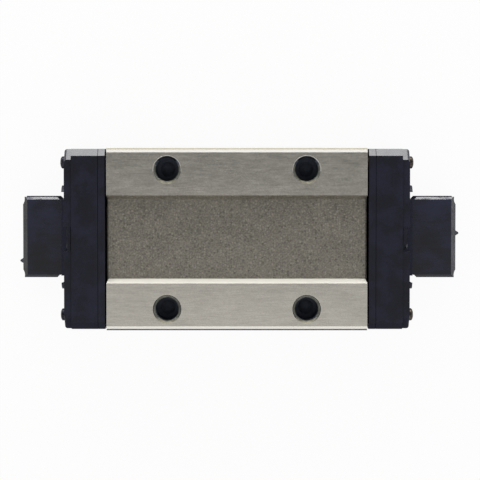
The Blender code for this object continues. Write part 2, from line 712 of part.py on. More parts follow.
def rail_end_cutters(end):
    """Boxes that chamfer the top of one end of the transport rail and notch its sides by the seal."""
    reach = 2 * DUMMY_WIDTH
    outward = Vector((end, 0, 1)).normalized()
    corner = Vector((DUMMY_SHIFT + end * DUMMY_LENGTH / 2, 0, DUMMY_TOP))
    centre = corner + outward * (reach - math.sqrt(2) * DUMMY_END_CHAMFER) / 2
    tools = [box("rail_chamfer", (reach, reach, reach), facing(centre, outward))]
    size = 4 * NOTCH_DEPTH
    for way in SIDES.values():
        notch_y = way * (DUMMY_WIDTH / 2 - NOTCH_DEPTH + size / math.sqrt(2))
        centre = (end * (SEAL_END_X + NOTCH_FROM_SEAL), notch_y, DUMMY_TOP / 2)
        tools.append(box("seal_notch", (size, size, reach), Matrix.Translation(centre)
                         @ Matrix.Rotation(math.pi / 4, 4, "Z")))
    return tools


def make_dummy_rail():
    """The plastic rail that the carriage is shipped on, cored out underneath, a gate nub at each end."""
    half = DUMMY_LENGTH / 2
    core_side = DUMMY_CORE_WIDTH / 2
    core_top = DUMMY_LIFT + DUMMY_CORE_DEPTH
    core = [(core_side, DUMMY_LIFT), (core_side, core_top), (0, core_top)]
    outline = both_sides(rail_half(0) + core)
    rail = extruded("dummy_rail", [outline], DUMMY_SHIFT - half, DUMMY_SHIFT + half)
    nubs = []
    for name, end in ENDS.items():
        place = facing((DUMMY_SHIFT + end * half, NUB_Y[name], (core_top + DUMMY_TOP) / 2), (end, 0, 0))
        foot_radius = 2 * NUB_RADIUS - NUB_TIP_RADIUS
        nubs.append(cone("gate_nub", foot_radius, NUB_TIP_RADIUS, 2 * NUB_LENGTH, NUB_SIDES, place))
    plan_boolean(rail, [tool for end in ENDS.values() for tool in rail_end_cutters(end)])
    finish(plan_boolean(rail, nubs, "UNION"), DUMMY_PLASTIC, dummy_slide)


make_block()
make_strips()
make_dummy_rail()
for end_name, end_sign in ENDS.items():
    make_plate("return_plate_" + end_name, end_sign)
    make_cap("end_cap_" + end_name, end_sign)
    make_seal_plate("seal_plate_" + end_name, end_sign)
    make_seal_lip("seal_lip_" + end_name, end_sign)
    make_grease_plug("grease_plug_" + end_name, end_sign)
    for side_name, side_sign in SIDES.items():
        make_screw(f"end_screw_{end_name}_{side_name}", end_sign, side_sign)
        for level, (row_centre, return_centre) in CIRCUITS.items():
            guide_name = f"turn_guide_{end_name}_{side_name}_{level}"
            make_turn_guide(guide_name, end_sign, side_sign, row_centre, return_centre)
for side_name, side_sign in SIDES.items():
    for level, (row_centre, return_centre) in CIRCUITS.items():
        make_return_tube(f"return_tube_{side_name}_{level}", side_sign, return_centre)
        make_ball_chain(f"ball_chain_{side_name}_{level}", side_sign, row_centre, return_centre)
add_booleans()
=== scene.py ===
# %% [markdown]
# A linear guide carriage is a steel block that rolls along a rail on four loops of balls. It is
# shipped on a short plastic rail that keeps the balls in place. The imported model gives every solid
# its size and place, and this script dresses those solids: it rebuilds the ones that show with
# finer edges and round holes, gives each one its finish, and lights them as on a white table.

import math

import bmesh
import bpy
from mathutils import Matrix, Vector


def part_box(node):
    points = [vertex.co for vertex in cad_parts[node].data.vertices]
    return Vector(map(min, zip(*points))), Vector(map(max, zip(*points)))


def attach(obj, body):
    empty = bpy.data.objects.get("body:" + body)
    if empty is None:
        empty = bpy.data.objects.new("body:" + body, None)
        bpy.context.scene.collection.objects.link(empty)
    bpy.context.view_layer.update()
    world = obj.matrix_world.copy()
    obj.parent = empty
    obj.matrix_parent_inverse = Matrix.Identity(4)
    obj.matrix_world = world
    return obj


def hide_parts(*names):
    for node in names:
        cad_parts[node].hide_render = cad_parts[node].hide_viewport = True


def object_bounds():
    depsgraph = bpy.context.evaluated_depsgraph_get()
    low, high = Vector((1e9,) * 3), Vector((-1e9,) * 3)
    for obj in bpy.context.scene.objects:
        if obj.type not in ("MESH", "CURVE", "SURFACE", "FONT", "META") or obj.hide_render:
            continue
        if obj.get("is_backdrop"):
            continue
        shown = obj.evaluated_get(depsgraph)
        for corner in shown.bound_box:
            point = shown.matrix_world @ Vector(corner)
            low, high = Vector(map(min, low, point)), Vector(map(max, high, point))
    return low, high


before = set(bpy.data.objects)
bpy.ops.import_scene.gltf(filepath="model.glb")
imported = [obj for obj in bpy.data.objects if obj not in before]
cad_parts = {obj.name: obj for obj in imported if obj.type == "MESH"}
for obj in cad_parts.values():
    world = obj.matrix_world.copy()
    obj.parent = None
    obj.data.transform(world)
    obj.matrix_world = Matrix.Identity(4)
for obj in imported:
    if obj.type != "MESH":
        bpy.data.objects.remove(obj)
scene = bpy.context.scene
cad_low, cad_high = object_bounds()
print("CAD box in mm:", [round(1000 * size, 2) for size in cad_high - cad_low])

# %% [markdown]
# The photograph looks almost straight down on the mounting face from about 40 cm, with the camera
# a little towards the back edge. A camera could look exactly down and be shifted, but a slight tilt
# keeps the other views free of a shift. The lens follows from the scale on the mounting face.

# %% Set the camera
CAMERA_PLACE = Vector((0.00058, 0.0165, 0.421))
CAMERA_TARGET = Vector((0.00058, -0.0001, 0.021))
LENS_MM = 161.4

camera_data = bpy.data.cameras.new("camera")
camera_data.lens = LENS_MM
camera_data.sensor_width = 36
camera_data.clip_start = 0.01
camera = bpy.data.objects.new("camera", camera_data)
camera.location = CAMERA_PLACE
look = CAMERA_TARGET - CAMERA_PLACE
camera.rotation_euler = (math.asin(look.y / look.length), 0, 0)
scene.collection.objects.link(camera)
scene.camera = camera
scene.view_settings.view_transform = "Standard"
print("camera tilt in degrees:", round(math.degrees(camera.rotation_euler.x), 2))

# %% [markdown]
# The sky and every finish are networks of nodes. Three helpers keep the code that builds them short:
# one adds a node with its inputs, one maps a value smoothly between two ranges, and one mixes.

# %% Define the node helpers
def add_node(tree, kind, inputs=(), **settings):
    """Adds a node, sets its properties and the values of its inputs."""
    made = tree.nodes.new(kind)
    for key, value in settings.items():
        setattr(made, key, value)
    for key, value in dict(inputs).items():
        if isinstance(value, bpy.types.NodeSocket):
            tree.links.new(value, made.inputs[key])
        else:
            made.inputs[key].default_value = value
    return made


def ramp(tree, value, low, high, to_low=0.0, to_high=1.0):
    """Maps a value smoothly from one range to another, and stops at its ends."""
    made = add_node(tree, "ShaderNodeMapRange", {"Value": value, "From Min": low, "From Max": high,
                                                 "To Min": to_low, "To Max": to_high})
    made.interpolation_type = "SMOOTHSTEP"
    return made.outputs["Result"]


def blend(tree, share, first, second):
    """Mixes two numbers by a share."""
    made = add_node(tree, "ShaderNodeMix", {0: share, 2: first, 3: second}, data_type="FLOAT")
    return made.outputs[0]


# %% [markdown]
# Bright steel shows what stands around it, so the light is made as much for its mirror images as
# for its shadows. The sky is white at the horizon, dimmer towards the two ends and dimmer still
# overhead, where the camera stands. It is brighter again just in front of the camera, which is why
# the front pad looks lighter than the back one. Rays from the camera find plain white.

# %% Make the sky
HORIZON_LIGHT = 1.12
SIDE_LIGHT = 0.65
OVERHEAD_LIGHT = 0.245
FRONT_LIGHT = 0.82
FRONT_TO_OVERHEAD = (-0.062, -0.018)
MIDDLE_TO_SIDE = (0.4, 0.8)
HORIZON_TO_OVERHEAD = (0.5, 0.85)

sky = bpy.data.worlds.new("studio_sky")
scene.world = sky
sky.use_nodes = True
sky_tree = sky.node_tree
direction = add_node(sky_tree, "ShaderNodeSeparateXYZ",
                     {0: add_node(sky_tree, "ShaderNodeTexCoord").outputs["Generated"]})
overhead = ramp(sky_tree, direction.outputs["Y"], *FRONT_TO_OVERHEAD, FRONT_LIGHT, OVERHEAD_LIGHT)
sideways = add_node(sky_tree, "ShaderNodeMath", {0: direction.outputs["X"]}, operation="ABSOLUTE")
horizon = ramp(sky_tree, sideways.outputs[0], *MIDDLE_TO_SIDE, HORIZON_LIGHT, SIDE_LIGHT)
height_share = ramp(sky_tree, direction.outputs["Z"], *HORIZON_TO_OVERHEAD)
studio = blend(sky_tree, height_share, horizon, overhead)
path = add_node(sky_tree, "ShaderNodeLightPath")
seen = add_node(sky_tree, "ShaderNodeMath", {0: path.outputs["Is Camera Ray"],
                                             1: path.outputs["Is Transmission Ray"]}, operation="ADD")
seen.use_clamp = True
shown = blend(sky_tree, seen.outputs[0], studio, 1.0)
sky_tree.links.new(shown, sky_tree.nodes["Background"].inputs["Strength"])
sky_tree.nodes["Background"].inputs["Color"].default_value = (1, 1, 1, 1)
print("sky at the horizon, overhead and in front:", HORIZON_LIGHT, OVERHEAD_LIGHT, FRONT_LIGHT)

# %% [markdown]
# One long soft lamp stands low behind the back edge. It gives the light strip along the back bevel
# of the plastic caps, the bright back chamfer and the bright flank of the channel, all of which
# face it, while the flat faces hardly see it. The strip and the flank are also helped by painted
# highlight in their finishes. It reaches only 16 degrees up, so that the ground pads don't mirror it
# in most views from the front. An area lamp was chosen because its size sets how soft the shadows
# are, and it is hidden from the camera.

# %% Add the low lamp
LAMP_DISTANCE = 0.5
LAMP_LOW = -0.02
LAMP_HIGH = 0.165
LAMP_WIDTH = 0.64
LAMP_RADIANCE = 5.3


def soft_lamp(name, centre, target, width, height, radiance):
    """Area lamp that faces a point, its strength given as the brightness of its surface."""
    lamp = bpy.data.lights.new(name, "AREA")
    lamp.shape = "RECTANGLE"
    lamp.size = width
    lamp.size_y = height
    lamp.energy = radiance * math.pi * width * height
    holder = bpy.data.objects.new(name, lamp)
    holder.location = centre
    holder.rotation_euler = (Vector(target) - Vector(centre)).to_track_quat("-Z", "Y").to_euler()
    holder.visible_camera = False
    scene.collection.objects.link(holder)


lamp_middle = (LAMP_LOW + LAMP_HIGH) / 2
soft_lamp("low_back_lamp", (0, LAMP_DISTANCE, lamp_middle), (0, 0, cad_high.z), LAMP_WIDTH,
          LAMP_HIGH - LAMP_LOW, LAMP_RADIANCE)
print("lamp energy in W:", round(bpy.data.lights["low_back_lamp"].energy, 2))

# %% [markdown]
# The table is a white plane under the carriage. To the camera most of its brightness is its own, so
# it stays white in the picture, and the rest is the light that it receives, which keeps a soft
# shadow beside the object. To every other ray it is a plain white table.

# %% Lay the table
TABLE_HALF = 3.0
SHADOW_SHARE = 0.06

table_material = bpy.data.materials.new("white_table")
table_material.use_nodes = True
table_tree = table_material.node_tree
table_tree.nodes.clear()
paint = add_node(table_tree, "ShaderNodeBsdfDiffuse", {"Color": (1, 1, 1, 1)})
glow = add_node(table_tree, "ShaderNodeEmission", {"Color": (1, 1, 1, 1), "Strength": 1.0})
table_path = add_node(table_tree, "ShaderNodeLightPath")
own_share = add_node(table_tree, "ShaderNodeMath", {0: table_path.outputs["Is Camera Ray"],
                                                    1: 1 - SHADOW_SHARE}, operation="MULTIPLY")
table_mix = add_node(table_tree, "ShaderNodeMixShader", {0: own_share.outputs[0], 1: paint.outputs[0],
                                                         2: glow.outputs[0]})
add_node(table_tree, "ShaderNodeOutputMaterial", {"Surface": table_mix.outputs[0]})

table_shape = bmesh.new()
bmesh.ops.create_grid(table_shape, x_segments=1, y_segments=1, size=TABLE_HALF)
table_mesh = bpy.data.meshes.new("white_table")
table_shape.to_mesh(table_mesh)
table_shape.free()
table_mesh.materials.append(table_material)
table = bpy.data.objects.new("white_table", table_mesh)
scene.collection.objects.link(table)
table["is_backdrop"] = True
print("table height in mm:", 1000 * cad_low.z)

# %% [markdown]
# Grinding, milling and moulding each leave their own small pattern, and two node groups make them.
# Grain is a noise that can be stretched along the rail, so a high stretch gives grinding lines and
# none gives a cast or blasted skin. Specks are the scattered dots of a cell pattern, for dust and for
# the bright grains and pits of the channel. The third group is a painted sheen: it rises from one
# side of a piece to the other, so the rail's back half and the channel's front half are painted a
# shade lighter, as light would fall on them. All read the object's own coordinates, so the patterns
# stay on the part.

# %% Build the pattern groups
def pattern_group(name, inputs):
    """Empty node group with number inputs and one mask output."""
    group = bpy.data.node_groups.new(name, "ShaderNodeTree")
    for label, start in inputs.items():
        socket = group.interface.new_socket(label, in_out="INPUT", socket_type="NodeSocketFloat")
        socket.default_value = start
    group.interface.new_socket("Mask", in_out="OUTPUT", socket_type="NodeSocketFloat")
    return group, add_node(group, "NodeGroupInput")


def place_on_piece(group, inner):
    """Object coordinates, scaled and drawn out along X by the group's inputs."""
    along = add_node(group, "ShaderNodeMath", {0: inner.outputs["Scale"], 1: inner.outputs["Stretch"]},
                     operation="DIVIDE")
    scales = add_node(group, "ShaderNodeCombineXYZ", {"X": along.outputs[0], "Y": inner.outputs["Scale"],
                                                      "Z": inner.outputs["Scale"]})
    coordinates = add_node(group, "ShaderNodeTexCoord").outputs["Object"]
    return add_node(group, "ShaderNodeVectorMath", {0: coordinates, 1: scales.outputs[0]},
                    operation="MULTIPLY").outputs[0]


grain, grain_in = pattern_group("grain", {"Scale": 1000, "Stretch": 1, "Low": 0.35, "High": 0.65})
grain_noise = add_node(grain, "ShaderNodeTexNoise", {"Vector": place_on_piece(grain, grain_in),
                                                     "Scale": 1, "Detail": 3, "Roughness": 0.6})
grain_mask = ramp(grain, grain_noise.outputs["Fac"], grain_in.outputs["Low"],
                  grain_in.outputs["High"])
add_node(grain, "NodeGroupOutput", {"Mask": grain_mask})

specks, specks_in = pattern_group("specks", {"Scale": 1000, "Stretch": 1, "Size": 0.2, "Share": 0.3})
cells = add_node(specks, "ShaderNodeTexVoronoi", {"Vector": place_on_piece(specks, specks_in),
                                                  "Scale": 1})
near = add_node(specks, "ShaderNodeMath", {0: cells.outputs["Distance"], 1: specks_in.outputs["Size"]},
                operation="LESS_THAN")
chosen = add_node(specks, "ShaderNodeSeparateColor", {0: cells.outputs["Color"]})
picked = add_node(specks, "ShaderNodeMath", {0: chosen.outputs[0], 1: specks_in.outputs["Share"]},
                  operation="LESS_THAN")
speck_mask = add_node(specks, "ShaderNodeMath", {0: near.outputs[0], 1: picked.outputs[0]},
                      operation="MULTIPLY")
add_node(specks, "NodeGroupOutput", {"Mask": speck_mask.outputs[0]})

# Painted sheen: a lighter side of a piece that stands in for the light, not a mark of the surface.
painted_sheen, painted_sheen_in = pattern_group("painted_sheen", {"Low": -0.006, "High": 0.006})
across = add_node(painted_sheen, "ShaderNodeSeparateXYZ",
                  {0: add_node(painted_sheen, "ShaderNodeTexCoord").outputs["Object"]}).outputs["Y"]
painted_sheen_mask = ramp(painted_sheen, across, painted_sheen_in.outputs["Low"], painted_sheen_in.outputs["High"])
add_node(painted_sheen, "NodeGroupOutput", {"Mask": painted_sheen_mask})
print("groups:", grain.name, specks.name, painted_sheen.name)

# %% [markdown]
# Every finish is made the same way: some patterns are added up, and their sum moves the colour
# between a dark and a light tone, the roughness between two values, and the surface up and down by
# at most a few hundredths of a millimetre. One helper does this, so each finish is a few numbers.

# %% Define how a finish is made
def finish_of(name, dark, light, roughness, layers, bump=0.0, metallic=0.0, **constants):
    """Material from two tones, two roughness values and layers of (group, share, inputs)."""
    made = bpy.data.materials.new(name)
    made.use_nodes = True
    tree = made.node_tree
    shader = tree.nodes["Principled BSDF"]
    total = None
    for group, share, inputs in layers:
        layer = tree.nodes.new("ShaderNodeGroup")
        layer.node_tree = group
        for key, value in inputs.items():
            layer.inputs[key].default_value = value
        weighted = add_node(tree, "ShaderNodeMath", {0: layer.outputs["Mask"], 1: share},
                            operation="MULTIPLY").outputs[0]
        if total is None:
            total = weighted
        else:
            total = add_node(tree, "ShaderNodeMath", {0: total, 1: weighted}, operation="ADD").outputs[0]
    tones = add_node(tree, "ShaderNodeMix", {0: total, 6: (*dark, 1), 7: (*light, 1)}, data_type="RGBA")
    tree.links.new(tones.outputs[2], shader.inputs["Base Color"])
    rough = add_node(tree, "ShaderNodeMapRange", {"Value": total, "To Min": roughness[0],
                                                  "To Max": roughness[1]})
    tree.links.new(rough.outputs["Result"], shader.inputs["Roughness"])
    if bump:
        raised = add_node(tree, "ShaderNodeBump", {"Height": total, "Distance": bump, "Strength": 1.0})
        tree.links.new(raised.outputs["Normal"], shader.inputs["Normal"])
    shader.inputs["Metallic"].default_value = metallic
    for key, value in constants.items():
        shader.inputs[key.replace("_", " ")].default_value = value
    return made


def tone(colour, share):
    """A colour made darker or lighter."""
    return tuple(channel * share for channel in colour)


# %% [markdown]
# The block is one piece of bearing steel with several finishes. The two pads and the sides are
# ground and carry fine lines along the rail, the channel between the pads keeps the blasted skin of
# the forging, chamfers and flanks are milled, and the ball tracks are polished. The narrow slopes at
# the hole mouths and beside the chamfers have tones of their own, because each one mirrors another
# part of the room: these tones are painted reflection, highlight and shade. The back flank has a
# lighter copy of the blasted skin, painted light, the front flank a brighter copy of the milled
# steel, a painted highlight, and the holes and threads are painted dark as shade.

# %% Make the steel finishes
PAD_STEEL = (0.55, 0.525, 0.468)
CHANNEL_STEEL = (0.279, 0.261, 0.222)
MILLED_STEEL = (0.66, 0.645, 0.6)
OLIVE_STEEL = (0.34, 0.345, 0.3)
# Painted reflection tone for narrow slopes that face the lamp.
REFLECTION_TONE = (0.26, 0.245, 0.19)
# Painted shade tone for the holes and the darkest slopes.
SHADE_TONE = (0.12, 0.135, 0.17)

GRINDING = (grain, 0.28, {"Scale": 4200, "Stretch": 9, "Low": 0.3, "High": 0.7})
BROAD_GRINDING = (grain, 0.26, {"Scale": 1100, "Stretch": 5, "Low": 0.3, "High": 0.7})
CLOUDS = (grain, 0.2, {"Scale": 190, "Stretch": 1.5, "Low": 0.3, "High": 0.7})
FINE_SPECKLE = (grain, 0.32, {"Scale": 4400, "Low": 0.3, "High": 0.7})
BLASTED_SKIN_AND_SHEEN = [(grain, 0.48, {"Scale": 3100, "Low": 0.36, "High": 0.64}),
            (grain, 0.12, {"Scale": 1300, "Stretch": 1.4}),
            (grain, 0.12, {"Scale": 260, "Stretch": 1.3}),
            # Painted sheen: the front half of the channel is painted a shade lighter.
            (painted_sheen, 0.1, {"Low": 0.007, "High": -0.007}),
            (specks, 0.5, {"Scale": 2300, "Size": 0.42, "Share": 0.3}),
            (specks, -0.4, {"Scale": 1900, "Size": 0.4, "Share": 0.25})]

ground_pad = finish_of("ground_pad", tone(PAD_STEEL, 0.76), tone(PAD_STEEL, 1.24), (0.13, 0.2),
                       [GRINDING, BROAD_GRINDING, CLOUDS, FINE_SPECKLE], bump=4e-7, metallic=1.0)
ground_side = finish_of("ground_side", tone(PAD_STEEL, 0.85), tone(PAD_STEEL, 1.15), (0.18, 0.3),
                        [GRINDING, BROAD_GRINDING, CLOUDS], bump=8e-7, metallic=1.0)
blasted_steel = finish_of("blasted_steel", tone(CHANNEL_STEEL, 0.63), tone(CHANNEL_STEEL, 1.44),
                          (0.45, 0.6), BLASTED_SKIN_AND_SHEEN, bump=3.5e-5, metallic=1.0)
# Painted light: a lighter copy of the blasted steel for the back flank, which faces away from the lamp.
painted_light_flank_steel = finish_of("painted_light_flank_steel", tone(CHANNEL_STEEL, 0.75), tone(CHANNEL_STEEL, 1.7), (0.45, 0.6),
                         BLASTED_SKIN_AND_SHEEN, bump=2e-5, metallic=1.0)
ring_steel = finish_of("ring_steel", tone(OLIVE_STEEL, 0.9), tone(OLIVE_STEEL, 1.12), (0.45, 0.55),
                       [(grain, 1.0, {"Scale": 1200})], metallic=1.0)
# Painted reflection: a warm tone for the narrow faces that look towards the lamp.
painted_reflection_steel = finish_of("painted_reflection_steel", tone(REFLECTION_TONE, 0.85), tone(REFLECTION_TONE, 1.2), (0.45, 0.55),
                      [(grain, 1.0, {"Scale": 1200})], metallic=1.0)
milled_steel = finish_of("milled_steel", tone(MILLED_STEEL, 0.38), tone(MILLED_STEEL, 0.48),
                         (0.35, 0.5), [GRINDING, CLOUDS], bump=2e-6, metallic=1.0)
# Painted highlight: a brighter copy of the milled steel for the front flank, the front chamfer and a line
# in the back holes.
painted_highlight_steel = finish_of("painted_highlight_steel", tone(MILLED_STEEL, 1.36), tone(MILLED_STEEL, 1.5),
                        (0.62, 0.72), [GRINDING, CLOUDS], bump=2e-6, metallic=1.0)
# Painted shade: the darkest tone, for parts of the hole mouths.
painted_deep_shade_steel = finish_of("painted_deep_shade_steel", tone(SHADE_TONE, 0.15), tone(SHADE_TONE, 0.3), (0.5, 0.7),
                        [(grain, 1.0, {"Scale": 1800})], metallic=1.0)
# Painted shade: the dark tone of the holes, the threads and the outer strip of the front chamfer.
painted_shade_steel = finish_of("painted_shade_steel", tone(SHADE_TONE, 0.8), tone(SHADE_TONE, 1.3), (0.5, 0.7),
                       [(grain, 1.0, {"Scale": 1800})], metallic=1.0)
track_steel = finish_of("track_steel", tone(MILLED_STEEL, 0.85), tone(MILLED_STEEL, 1.0), (0.08, 0.16),
                        [GRINDING], bump=2e-7, metallic=1.0)
bright_ball = finish_of("bright_ball", (0.6, 0.6, 0.6), (0.68, 0.68, 0.67), (0.05, 0.1),
                        [(grain, 1.0, {"Scale": 900})], metallic=1.0)
print("finishes of the block and the balls:", len(bpy.data.materials) - 1)

# %% [markdown]
# The caps, plates and the shipping rail are black plastic with a cold tint. The caps have the
# satin skin of a mould, the rail is glossier and has faint lines from the die, and the rubber lip
# is smooth and a little shiny. The parts that guide the balls are left in their natural ivory.

# %% Make the plastic, rubber and screw finishes
CAP_BLACK = (0.0055, 0.0065, 0.0175)
RAIL_BLACK = (0.0055, 0.007, 0.0215)
IVORY = (0.6, 0.58, 0.5)

MOULD_SKIN = (grain, 0.45, {"Scale": 4200, "Low": 0.3, "High": 0.7})
SKIN_CLOUDS = (grain, 0.55, {"Scale": 280, "Low": 0.35, "High": 0.65})
DUST = (specks, 0.9, {"Scale": 900, "Size": 0.09, "Share": 0.05})

cap_resin = finish_of("cap_resin", tone(CAP_BLACK, 0.25), tone(CAP_BLACK, 1.8), (0.32, 0.4),
                      [MOULD_SKIN, SKIN_CLOUDS, DUST], bump=4e-6, Specular_IOR_Level=0.35)
# Painted highlight: a shinier copy of the cap resin for the back bevel, which faces the lamp.
painted_highlight_bevel_resin = finish_of("painted_highlight_bevel_resin", tone(CAP_BLACK, 0.8), tone(CAP_BLACK, 1.5), (0.13, 0.2),
                        [MOULD_SKIN, SKIN_CLOUDS], bump=1e-6, Specular_IOR_Level=0.78)
plate_resin = finish_of("plate_resin", tone(CAP_BLACK, 0.7), tone(CAP_BLACK, 1.5), (0.35, 0.5),
                        [MOULD_SKIN, SKIN_CLOUDS, DUST], bump=4e-6, Specular_IOR_Level=0.35)
# Painted highlight: lighter, shinier patches for the rail's upper back edge, which faces the lamp.
painted_highlight_edge_resin = finish_of("painted_highlight_edge_resin", tone(RAIL_BLACK, 0.8), tone(RAIL_BLACK, 2.5), (0.08, 0.6),
                       [(grain, 0.8, {"Scale": 1400, "Stretch": 3, "Low": 0.42, "High": 0.6}),
                        (grain, 0.2, {"Scale": 4200})], bump=2e-5, Specular_IOR_Level=1.0)
side_resin = finish_of("side_resin", tone(CAP_BLACK, 0.8), tone(CAP_BLACK, 1.5), (0.05, 0.09),
                       [MOULD_SKIN, SKIN_CLOUDS], Specular_IOR_Level=0.5)
# Painted shade: a duller copy of the cap resin for the front bevel.
painted_shade_bevel_resin = finish_of("painted_shade_bevel_resin", tone(CAP_BLACK, 0.7), tone(CAP_BLACK, 1.4), (0.4, 0.55),
                       [MOULD_SKIN, SKIN_CLOUDS], bump=3e-6, Specular_IOR_Level=0.12)
# Besides its die lines and dust, the rail carries the painted sheen that makes its back half lighter.
rail_plastic = finish_of("rail_plastic", tone(RAIL_BLACK, 0.1), tone(RAIL_BLACK, 2.1), (0.22, 0.32),
                         [(grain, 0.2, {"Scale": 1500, "Stretch": 8}), (painted_sheen, 0.3, {}),
                          (grain, 0.5, {"Scale": 210, "Stretch": 1.2, "Low": 0.38, "High": 0.62}), DUST],
                         bump=2e-6, Specular_IOR_Level=0.5)
cut_resin = finish_of("cut_resin", (0.035, 0.037, 0.045), (0.11, 0.11, 0.125), (0.3, 0.5),
                      [(grain, 0.6, {"Scale": 2600}), SKIN_CLOUDS], bump=1e-5)
scuffed_resin = finish_of("scuffed_resin", (0.018, 0.019, 0.022), (0.055, 0.055, 0.058), (0.3, 0.5),
                          [(grain, 0.6, {"Scale": 2600}), SKIN_CLOUDS], bump=1e-5)
lip_rubber = finish_of("lip_rubber", tone(CAP_BLACK, 1.1), tone(CAP_BLACK, 2.4), (0.4, 0.55),
                       [(grain, 1.0, {"Scale": 2400})], bump=3e-6, Specular_IOR_Level=0.4)
ivory_resin = finish_of("ivory_resin", tone(IVORY, 0.9), tone(IVORY, 1.06), (0.4, 0.55),
                        [MOULD_SKIN, SKIN_CLOUDS], bump=2e-6)
black_oxide = finish_of("black_oxide", (0.012, 0.012, 0.018), (0.05, 0.05, 0.062), (0.25, 0.45),
                        [(grain, 0.7, {"Scale": 3000}), SKIN_CLOUDS], bump=2e-6, metallic=1.0)
brown_oxide = finish_of("brown_oxide", (0.035, 0.028, 0.024), (0.12, 0.1, 0.085), (0.25, 0.45),
                        [(grain, 0.7, {"Scale": 3000}), SKIN_CLOUDS], bump=2e-6, metallic=1.0)
print("finishes in all:", len(bpy.data.materials))

# %% [markdown]
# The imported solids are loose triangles. A copy of one is merged and its flat faces are joined, and
# then it is an ordinary mesh that a Bevel modifier can round.


def cad_shape(node):
    """Copy of a CAD node as a bmesh with its triangles merged into flat faces."""
    shape = bmesh.new()
    shape.from_mesh(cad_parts[node].data)
    bmesh.ops.remove_doubles(shape, verts=shape.verts, dist=1e-6)
    bmesh.ops.dissolve_limit(shape, angle_limit=math.radians(1), use_dissolve_boundaries=False,
                             verts=shape.verts, edges=shape.edges)
    return shape


def mesh_object(name, shape):
    """Turns a bmesh into an object at the origin."""
    mesh = bpy.data.meshes.new(name)
    shape.to_mesh(mesh)
    shape.free()
    piece = bpy.data.objects.new(name, mesh)
    scene.collection.objects.link(piece)
    return piece


# %% [markdown]
# The small round on each edge is what makes a machined or moulded part look real, because it
# catches a line of light. A Bevel modifier makes it, and a Weighted Normal modifier then keeps the
# shading of the large faces flat. A piece rides on its body and stands for its solid.

# %% Define how edges are rounded and a piece is added
def round_edges(piece, width):
    """Smooth faces and a narrow Bevel that catches the light, with the large faces kept flat."""
    piece.data.shade_smooth()
    piece.data.set_sharp_from_angle(angle=math.radians(32))
    bevel = piece.modifiers.new("round_edges", "BEVEL")
    bevel.width = width
    bevel.segments = 2
    bevel.limit_method = "ANGLE"
    bevel.angle_limit = math.radians(30)
    even = piece.modifiers.new("even_normals", "WEIGHTED_NORMAL")
    even.weight = 100
    even.keep_sharp = True


def add_piece(name, shape, materials, node, edge=0.0):
    """Piece that stands for a CAD node, rides with it and may have its edges rounded."""
    piece = mesh_object(name, shape)
    for material in materials:
        piece.data.materials.append(material)
    if edge:
        round_edges(piece, edge)
    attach(piece, "dummy_rail" if node == "dummy_rail" else "carriage")
    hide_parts(node)
    return piece


# %% [markdown]
# Screws, plugs and hole cutters are round, so each one is half a section spun about its axis. Holes
# and recesses are cut with a Boolean, whose result is kept and whose tool is thrown away.

# %% Define how a shape is cut or turned
ROUND_STEPS = 48


def cut(piece, shape):
    """Cuts a closed shape out of a piece with a Boolean, and keeps only the result."""
    tool = mesh_object("tool", shape)
    boolean = piece.modifiers.new("cut", "BOOLEAN")
    boolean.operation = "DIFFERENCE"
    boolean.solver = "EXACT"
    boolean.object = tool
    evaluated = piece.evaluated_get(bpy.context.evaluated_depsgraph_get())
    result = bpy.data.meshes.new_from_object(evaluated)
    piece.modifiers.remove(boolean)
    old = piece.data
    piece.data = result
    bpy.data.meshes.remove(old)
    bpy.data.objects.remove(tool)


def turned_shape(profile, steps):
    """Closed bmesh from a profile of (radius, height) points on the XZ plane, spun about Z."""
    shape = bmesh.new()
    verts = [shape.verts.new((radius, 0, height)) for radius, height in profile]
    edges = [shape.edges.new(pair) for pair in zip(verts, verts[1:])]
    bmesh.ops.spin(shape, geom=verts + edges, cent=(0, 0, 0), axis=(0, 0, 1), angle=2 * math.pi,
                   steps=steps, use_merge=True)
    bmesh.ops.remove_doubles(shape, verts=shape.verts, dist=1e-7)
    bmesh.ops.recalc_face_normals(shape, faces=shape.faces)
    return shape


def outward_place(x, y, z, end):
    """Place whose local Z points outwards along X, at one end of the carriage."""
    return Matrix.Translation((x, y, z)) @ Matrix.Rotation(end * math.pi / 2, 4, "Y")


# %% [markdown]
# The block's mounting holes are tapped for M5 screws. The solid has them as bores of twenty sides, so
# their mouths are drawn in and the copy is cut again with a round cutter: a narrow flat slope, the
# countersunk ring, then the wider thread bottom. The thread is a small wedge spun down the wall in
# steps, which bmesh does as one operator.

# %% Cut and thread the mounting holes
HOLE_XY = [(x, y) for x in (-0.013, 0.013) for y in (-0.013, 0.013)]
SOLID_MOUTH = 0.00283
MOUTH_RADIUS = 0.00265
RIM_RADIUS = 0.00254
RIM_DEPTH = 0.00016
CREST_RADIUS = 0.00218
THREAD_RADIUS = 0.00248
THREAD_PITCH = 0.0008
THREAD_START = 0.0009
THREAD_TURNS = 7
THREAD_STEPS = 36
THREAD_ROOT_SHARE = 0.42
THREAD_CREST_SHARE = 0.05
THREAD_SUNK = 0.00004
FLOOR_CONE = 0.0003
CLOSE = 0.0001
top = cad_high.z


def narrow_mouth(mesh, x, y):
    """Draws the countersunk edge of the solid inwards, so that the round cutter makes it anew."""
    for vert in mesh.vertices:
        away = Vector((vert.co.x - x, vert.co.y - y, 0))
        if CREST_RADIUS < away.length < SOLID_MOUTH and vert.co.z > top - CLOSE:
            vert.co -= away.normalized() * (away.length - CREST_RADIUS)


